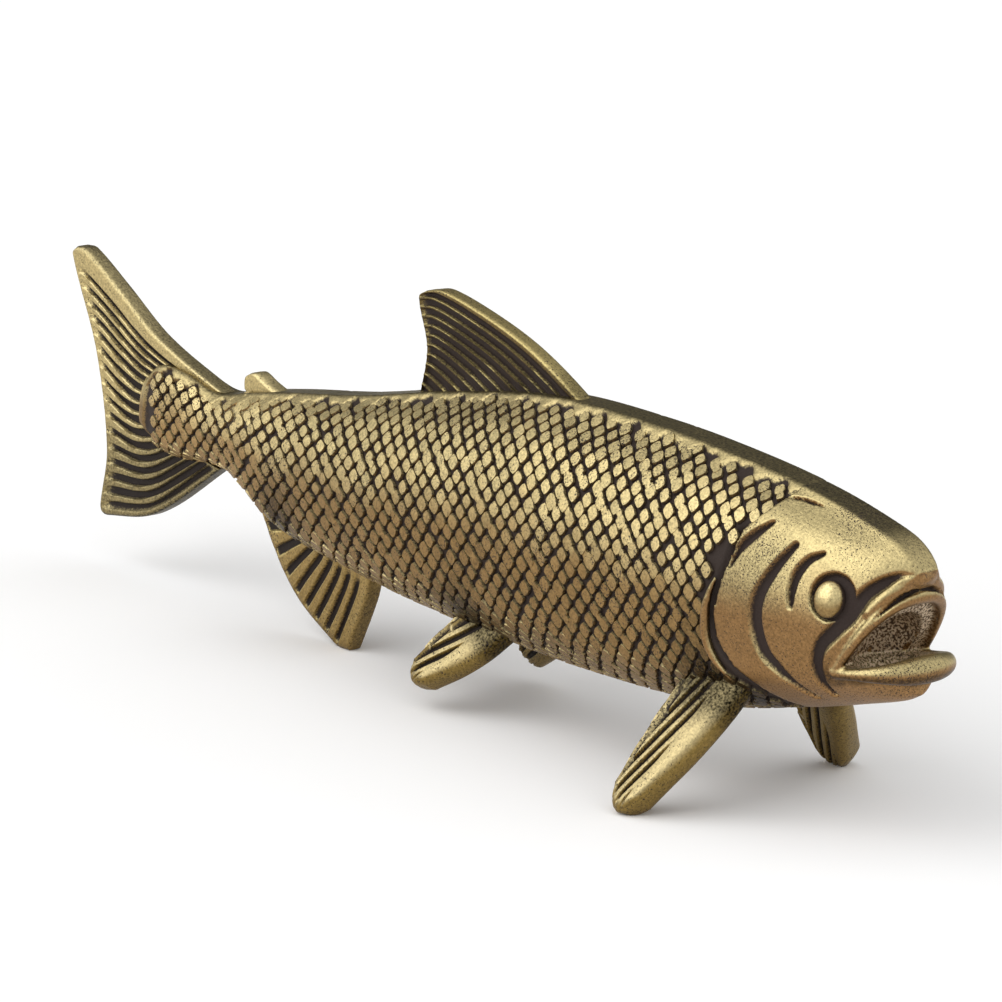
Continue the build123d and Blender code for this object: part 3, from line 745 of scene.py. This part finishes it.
def blade(name, edges, sizes, place, thickness, steps, ease, painted_rim_shading=0.0):
    """A closed blade with rounded edges between a root, the rays' ends, a leading and a trailing edge.

    The edges are in shares of the blade's two sizes; place turns millimetres on the blade into a point.
    """
    root, ends, lead, trail = [np.array(line) * sizes for line in edges]
    wide = np.linalg.norm(root[0] - root[-1]) + np.linalg.norm(ends[0] - ends[-1])
    across, full_across = eased_steps(0.5 * wide, ease, steps[0])
    along, full_along = eased_steps(np.linalg.norm(lead[0] - lead[-1]), ease, steps[1])
    a = across[:, None, None]
    b = along[None, :, None]
    low, high = line_at(root, across)[:, None], line_at(ends, across)[:, None]
    front, back = line_at(lead, along)[None], line_at(trail, along)[None]
    corners = ((1 - a) * (1 - b) * low[0, 0] + (1 - a) * b * high[0, 0]
               + a * (1 - b) * low[-1, 0] + a * b * high[-1, 0])
    flat = (1 - b) * low + b * high + (1 - a) * front + a * back - corners
    rows, columns = flat.shape[:2]
    full = np.minimum(full_across[:, None], full_along[None, :])
    least = max(1 - 2 * ease / thickness, 0.25)
    half = thickness / 2 * (least + (1 - least) * full)
    count = rows * columns
    points = [place(p, q, h) for (p, q), h in zip(flat.reshape(-1, 2), half.ravel())]
    points += [place(p, q, -h) for (p, q), h in zip(flat.reshape(-1, 2), half.ravel())]
    faces = []
    for i in range(rows - 1):
        for j in range(columns - 1):
            quad = (i * columns + j, i * columns + j + 1, (i + 1) * columns + j + 1, (i + 1) * columns + j)
            faces.append(quad)
            faces.append(tuple(count + v for v in reversed(quad)))
    border = list(range(columns)) + [i * columns + columns - 1 for i in range(1, rows)]
    border += [(rows - 1) * columns + j for j in range(columns - 2, -1, -1)]
    border += [i * columns for i in range(rows - 2, 0, -1)]
    for v, w in zip(border, border[1:] + border[:1]):
        faces.append((w, v, count + v, count + w))
    place_a = np.tile(np.repeat(across, columns), 2)
    place_b = np.tile(np.tile(along, rows), 2)
    # The rounded edges get painted shade where the rim value is below 0 and painted light where it is above 0.
    piece = new_piece(name, np.array(points), faces, None, across=place_a, along=place_b,
                      tone=np.tile(painted_rim_shading * (1 - ramp(full.ravel(), 0.6, 1.0)), 2))
    face_outward(piece.data)
    return piece


def ray_tree():
    """Geometry nodes that cut leaf-shaped hollows between evenly spread rays, and note the cuts as rub."""
    numbers = ("Rays", "First", "Last", "Depth", "Width", "Taper", "Root fade", "Edge fade", "Bar", "Slant",
               "Wander", "Floor")
    tree, given = begin_tree("fin_rays", (
        ("Blade", "Geometry"), *((name, "Float") for name in numbers), ("Finish", "Material")), "Rayed blade")

    def math(operation, *values):
        return maths(tree, operation, *values)

    def product(first, second, *others):
        result = math("MULTIPLY", first, second)
        return product(result, *others) if others else result

    across, along = noted(tree, ("across", "along"), "FLOAT")
    slanted = math("SUBTRACT", across, product(along, given["Slant"]))
    from_first = math("SUBTRACT", slanted, given["First"])
    rayed_part = math("SUBTRACT", given["Last"], given["First"])
    even_count = product(math("DIVIDE", from_first, rayed_part), given["Rays"])
    place = add(tree, "GeometryNodeInputPosition", {}).outputs[0]
    sway = add(tree, "ShaderNodeTexNoise", {"Vector": place, "Scale": 1 / (4.0 * mm), "Detail": 1.0})
    wander = product(math("SUBTRACT", sway.outputs[0], 0.5), given["Wander"])
    count = math("ADD", even_count, product(wander, 0.3))
    off_middle = math("ABSOLUTE", math("SUBTRACT", math("FRACT", count), 0.5))
    narrowing = math("SUBTRACT", 1.0, product(along, given["Taper"]))
    half = product(given["Width"], narrowing, math("ADD", wander, 1.0))
    leaf = eased(tree, off_middle, product(half, given["Floor"]), half, 1.0, 0.0)
    after_first = math("GREATER_THAN", count, 0.0)
    before_last = math("LESS_THAN", count, given["Rays"])
    off_bar = eased(tree, across, given["Bar"], math("ADD", given["Bar"], 0.06), 0.0, 1.0)
    off_rim = eased(tree, across, 0.95, 0.99, 1.0, 0.0)
    rayed = product(after_first, before_last, off_bar, off_rim)
    from_root = eased(tree, along, product(given["Root fade"], 0.4), given["Root fade"], 0.0, 1.0)
    to_edge = eased(tree, along, math("SUBTRACT", 1.0, given["Edge fade"]), 1.0, 1.0, 0.0)
    cut = product(leaf, rayed, from_root, to_edge)
    facing = add(tree, "GeometryNodeInputNormal", {}).outputs[0]
    inward = product(cut, given["Depth"], -1.0)
    move = add(tree, "ShaderNodeVectorMath", {0: facing, "Scale": inward}, operation="SCALE")
    rubbed = add(tree, "GeometryNodeStoreNamedAttribute",
                 {"Geometry": given["Blade"], "Name": "rub", "Value": math("SUBTRACT", 1.0, cut)},
                 data_type="FLOAT", domain="POINT")
    moved = add(tree, "GeometryNodeSetPosition", {"Geometry": rubbed.outputs[0], "Offset": move.outputs[0]})
    return end_tree(tree, moved, given["Finish"])


def finish_fin(piece, node, values):
    """Cuts a blade's rays, keeps its edges crisp and lets it stand for its solid."""
    bake(piece, rays, values)
    piece.data.set_sharp_from_angle(angle=radians(55))
    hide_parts(node)
    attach(piece, "root")


def darken(piece, amount, way, low, high):
    """Lowers a blade's tone more and more from one share of the way across or along it to another."""
    share = read(piece.data.attributes[way].data, "value", 1)
    tone = read(piece.data.attributes["tone"].data, "value", 1)
    darker = (tone - amount * ramp(share, low, high)).astype(np.float32).ravel()
    piece.data.attributes["tone"].data.foreach_set("value", darker)


def tail_place(p, q, h):
    """A place on the tail fin, ahead of its tip, above its middle and off its middle plane."""
    return (tail_tip + p, h, tail_middle + q)


rays = ray_tree()
brass_of_fins = antiqued_brass("antiqued_brass_fins", "#C6B686", "#B7A473", "#21160F", 0.33, 0.09, 0.6)
tail_edges = (tail_root, tail_ends, tail_lead, tail_trail)
tail_fin = blade("tail_fin", tail_edges, (tail_length, tail_span), tail_place, tail_thickness, (300, 50),
                 fin_rounding, painted_rim_shading=-0.8)
darken(tail_fin, 0.9, "across", 0.5, 0.8)
finish_fin(tail_fin, "caudal_fin", {
    "Rays": 16.0, "First": 0.07, "Last": 0.99, "Depth": 0.30 * mm, "Width": 0.50, "Taper": 0.45,
    "Root fade": 0.05, "Edge fade": 0.12, "Bar": 0.06, "Wander": 0.8, "Floor": 0.5,
    "Finish": brass_of_fins})

# Dorsal fin: a tall cast blade brazed into a slot in the back, dark between thin raised rays.
# Its leading edge and tip are bright, partly rubbed and partly because the rest is painted darker as painted
# shade;
# the rays sweep from the front of the root up to the rear edge.
dorsal_rear = body_rear + 0.377 * body_length
dorsal_length = 13.6
dorsal_height = 5.8
dorsal_thickness = 1.0
dorsal_root = [(1.00, -0.12), (0.50, -0.12), (0.03, -0.12)]
dorsal_lead = [(1.00, -0.12), (0.63, 0.40), (0.35, 0.725), (0.10, 0.960), (0.00, 0.972)]
dorsal_ends = [(0.00, 0.972), (-0.045, 0.92), (0.02, 0.42), (-0.005, -0.02)]
dorsal_trail = [(0.03, -0.12), (-0.005, -0.02)]


def back_place(rear):
    """The function that gives places on a fin that starts at a place on the back and follows it."""
    def place(p, q, h):
        return (rear + p, h, body_at((rear + p - body_rear) / body_length)[0] + q)
    return place


dorsal_edges = (dorsal_root, dorsal_ends, dorsal_lead, dorsal_trail)
dorsal_fin = blade("dorsal_blade", dorsal_edges, (dorsal_length, dorsal_height), back_place(dorsal_rear),
                   dorsal_thickness, (220, 50), fin_rounding, painted_rim_shading=0.2)
# The blade is painted darker behind its leading edge, painted shade, and darker towards its root.
darken(dorsal_fin, 0.6, "across", 0.04, 0.16)
darken(dorsal_fin, 0.9, "along", 0.30, 0.12)
# Its brass is a darker copy of the fins' brass, painted shade, with more dark pits.
shaded_brass_of_dorsal = antiqued_brass("antiqued_brass_dorsal_shaded", "#B0A06C", "#6A5836", "#2A1D15", 0.36, 0.09, 0.8)
finish_fin(dorsal_fin, "dorsal_fin", {
    "Rays": 11.0, "First": 0.04, "Last": 1.0, "Depth": 0.26 * mm, "Width": 0.49, "Taper": 0.15,
    "Root fade": 0.10, "Edge fade": 0.06, "Bar": 0.03, "Wander": 0.5, "Floor": 0.65,
    "Finish": shaded_brass_of_dorsal})

# Adipose fin: a small plain lobe of cast brass on the back before the tail, rubbed smooth.
# Brazed into a slot in the crest; it has no rays, so nothing is cut into it.
adipose_rear = body_rear + 0.135 * body_length
adipose_length = 3.7
adipose_height = 1.1
adipose_thickness = 1.1
adipose_root = [(1.00, -0.35), (0.50, -0.35), (0.12, -0.35)]
adipose_lead = [(1.00, -0.35), (0.56, 0.42), (0.30, 0.96), (0.16, 1.00)]
adipose_ends = [(0.16, 1.00), (0.02, 0.80), (0.06, 0.10)]
adipose_trail = [(0.12, -0.35), (0.06, 0.10)]
adipose_edges = (adipose_root, adipose_ends, adipose_lead, adipose_trail)
adipose_fin = blade("adipose_lobe", adipose_edges, (adipose_length, adipose_height), back_place(adipose_rear),
                    adipose_thickness, (24, 24), 0.35)
finish_fin(adipose_fin, "adipose_fin", {
    "Rays": 1.0, "Last": 1.0, "Depth": 0.0, "Width": 0.01, "Root fade": 0.1, "Edge fade": 0.1, "Floor": 0.5,
    "Finish": brass_of_fins})

# Anal fin: a rayed blade under the stalk that reaches the ground and is the fish's rear foot.
# Brazed into a slot in the belly; its lowest corner is flat.
anal_rear = body_rear + 0.150 * body_length
anal_length = 10.5
anal_thickness = 1.1
anal_root = [(1.00, 0.12), (0.65, 0.12), (0.30, 0.12)]
anal_lead = [(1.00, 0.12), (0.985, -0.20), (0.94, -0.50), (0.845, -0.995)]
anal_ends = [(0.845, -0.995), (0.75, -0.995), (0.65, -0.90), (0.42, -0.65), (0.18, -0.27), (0.00, 0.05)]
anal_trail = [(0.30, 0.12), (0.15, 0.12), (0.00, 0.05)]


def anal_place(p, q, h):
    """A place on the anal fin: how far ahead of its rear end, and its share of the way down to the ground."""
    belly = body_at((anal_rear + p - body_rear) / body_length)[1]
    return (anal_rear + p, h, belly * (1 + q))


brass_of_anal = antiqued_brass("antiqued_brass_anal", "#C6B37A", "#957D4E", "#21160F", 0.33, 0.09, 0.6)
anal_edges = (anal_root, anal_ends, anal_lead, anal_trail)
anal_fin = blade("anal_blade", anal_edges, (anal_length, 1.0), anal_place, anal_thickness, (180, 50),
                 fin_rounding, painted_rim_shading=-0.6)
finish_fin(anal_fin, "anal_fin", {
    "Rays": 9.0, "First": 0.08, "Last": 0.98, "Depth": 0.28 * mm, "Width": 0.36, "Taper": 0.35,
    "Root fade": 0.20, "Edge fade": 0.10, "Bar": 0.06, "Wander": 0.4, "Floor": 0.5,
    "Finish": brass_of_anal})

# Paired fins: four paddles that stand out and down from the lower flanks, pegged and brazed into the casting.
# The two pectorals reach the ground and are the front feet; each has a smooth leading bar and a few cut rays.
paddle_sunk = 1.7  # how far the hidden end reaches into the flank
paddle_thickness = 1.6
paddle_rounding = 0.8
paddle_lead = [(0.54, 0.08), (0.47, 0.45), (0.28, 0.86)]
paddle_ends = [(0.28, 0.86), (0.14, 0.97), (0.00, 1.00), (-0.14, 0.97), (-0.28, 0.86)]
paddle_trail = [(-0.56, 0.10), (-0.45, 0.55), (-0.28, 0.86)]


def paddle_place(seat, tip):
    """The function that gives places on a paddle between its seat and its tip, none below the ground."""
    run = tip - seat
    down = run.normalized()
    facing = Vector((1, 0, 0)).cross(run).normalized()
    ahead = down.cross(facing)

    def place(p, q, h):
        x, y, z = seat + ahead * p + down * q + facing * h
        return (x, y, max(z, 0.0))
    return place


brass_of_paddles = antiqued_brass("antiqued_brass_paddles", "#B5A57A", "#86703F", "#21160F", 0.36, 0.09, 0.7)
for fin, root_share, chord, sweep, spread, tip_height, ray_count in (
        ("pectoral", (0.816, 0.175), 3.75, 1.8, 16.3, 0.0, 11.0),
        ("pelvic", (0.508, 0.060), 3.2, 3.1, 8.8, 1.35, 8.0)):
    x = body_rear + root_share[0] * body_length
    z = belly_clearance + root_share[1] * trunk_height
    for side_name, side in (("right", -1), ("left", 1)):
        seat = on_flank(x, z, side)
        tip = Vector((x - sweep, side * spread / 2, tip_height))
        reach = (tip - seat).length
        hidden = -paddle_sunk / reach
        lead = [(0.50, hidden)] + paddle_lead
        trail = [(-0.56, hidden)] + paddle_trail
        root = [lead[0], (0.0, hidden), trail[0]]
        paddle = blade(f"{side_name}_{fin}_paddle", (root, paddle_ends, lead, trail), (chord, reach),
                       paddle_place(seat, tip), paddle_thickness, (130, 44), paddle_rounding)
        darken(paddle, 1.5, "along", 0.46, 0.24)
        finish_fin(paddle, f"{side_name}_{fin}_fin", {
            "Rays": ray_count, "First": -0.55, "Last": 1.0, "Depth": 0.28 * mm, "Width": 0.34, "Taper": 0.20,
            "Root fade": 0.22, "Edge fade": 0.12, "Bar": 0.34, "Slant": 0.45, "Wander": 0.6, "Floor": 0.5,
            "Finish": brass_of_paddles})

# Stage: a plain white floor under soft studio light, and the camera where the photograph was taken from.
# A large soft lamp stands on the viewer's left; the far side is dim, so the back and the fin edges stay dark,
# and painted shade on the back band and the tail and anal fin edges darkens them further.
paper = bpy.data.materials.new("matt_white_paper")
paper.use_nodes = True
paper_inputs = paper.node_tree.nodes["Principled BSDF"].inputs
paper_inputs["Base Color"].default_value = (0.99, 0.99, 0.99, 1)
paper_inputs["Roughness"].default_value = 0.9
paper_inputs["Specular IOR Level"].default_value = 0.0
floor_corners = [(-3000, -3000, 0), (3000, -3000, 0), (3000, 3000, 0), (-3000, 3000, 0)]
floor = new_piece("floor", floor_corners, [(0, 1, 2, 3)], paper)
floor.location.z = -0.02 * mm

world = bpy.data.worlds.new("studio")
bpy.context.scene.world = world
world.use_nodes = True
sky = world.node_tree
look = add(sky, "ShaderNodeTexCoord", {}).outputs["Generated"]
dim_way = add(sky, "ShaderNodeVectorMath", {0: look, 1: (-0.70, 0.66, 0.26)}, operation="DOT_PRODUCT")
strength = eased(sky, dim_way.outputs["Value"], 0.55, 0.94, 0.95, 0.10)
sky.links.new(strength, sky.nodes["Background"].inputs["Strength"])
sky.nodes["Background"].inputs["Color"].default_value = (1, 1, 1, 1)

lamp = bpy.data.lights.new("softbox", "AREA")
lamp.size = 1.6
lamp.energy = 12.0
softbox = bpy.data.objects.new("softbox", lamp)
bpy.context.scene.collection.objects.link(softbox)
softbox.location = Vector((-0.3, -0.75, 0.6)).normalized() * 1.5
softbox.rotation_euler = softbox.location.to_track_quat("Z", "Y").to_euler()

azimuth = radians(47.0)
elevation = radians(15.0)
camera_roll = radians(2.8)
distance = 0.320
photo_width = 1002  # pixels
photo_scale = 21.07  # pixels to a millimetre at the target
target = Vector((0.031575, -0.0277, 0.022))
backward = Vector((sin(azimuth) * cos(elevation), -cos(azimuth) * cos(elevation), sin(elevation)))
right = Vector((cos(azimuth), sin(azimuth), 0))
upward = backward.cross(right)
camera_data = bpy.data.cameras.new("camera")
camera_data.sensor_width = 36.0
camera_data.lens = photo_scale * distance / mm * camera_data.sensor_width / photo_width
camera_data.clip_start = 0.01
camera = bpy.data.objects.new("camera", camera_data)
bpy.context.scene.collection.objects.link(camera)
camera_axes = Matrix((right, upward, backward)).transposed().to_4x4()
camera_turn = camera_axes @ Matrix.Rotation(camera_roll, 4, "Z")
camera.matrix_world = Matrix.Translation(target + backward * distance) @ camera_turn
bpy.context.scene.camera = camera
bpy.context.scene.view_settings.view_transform = "Standard"
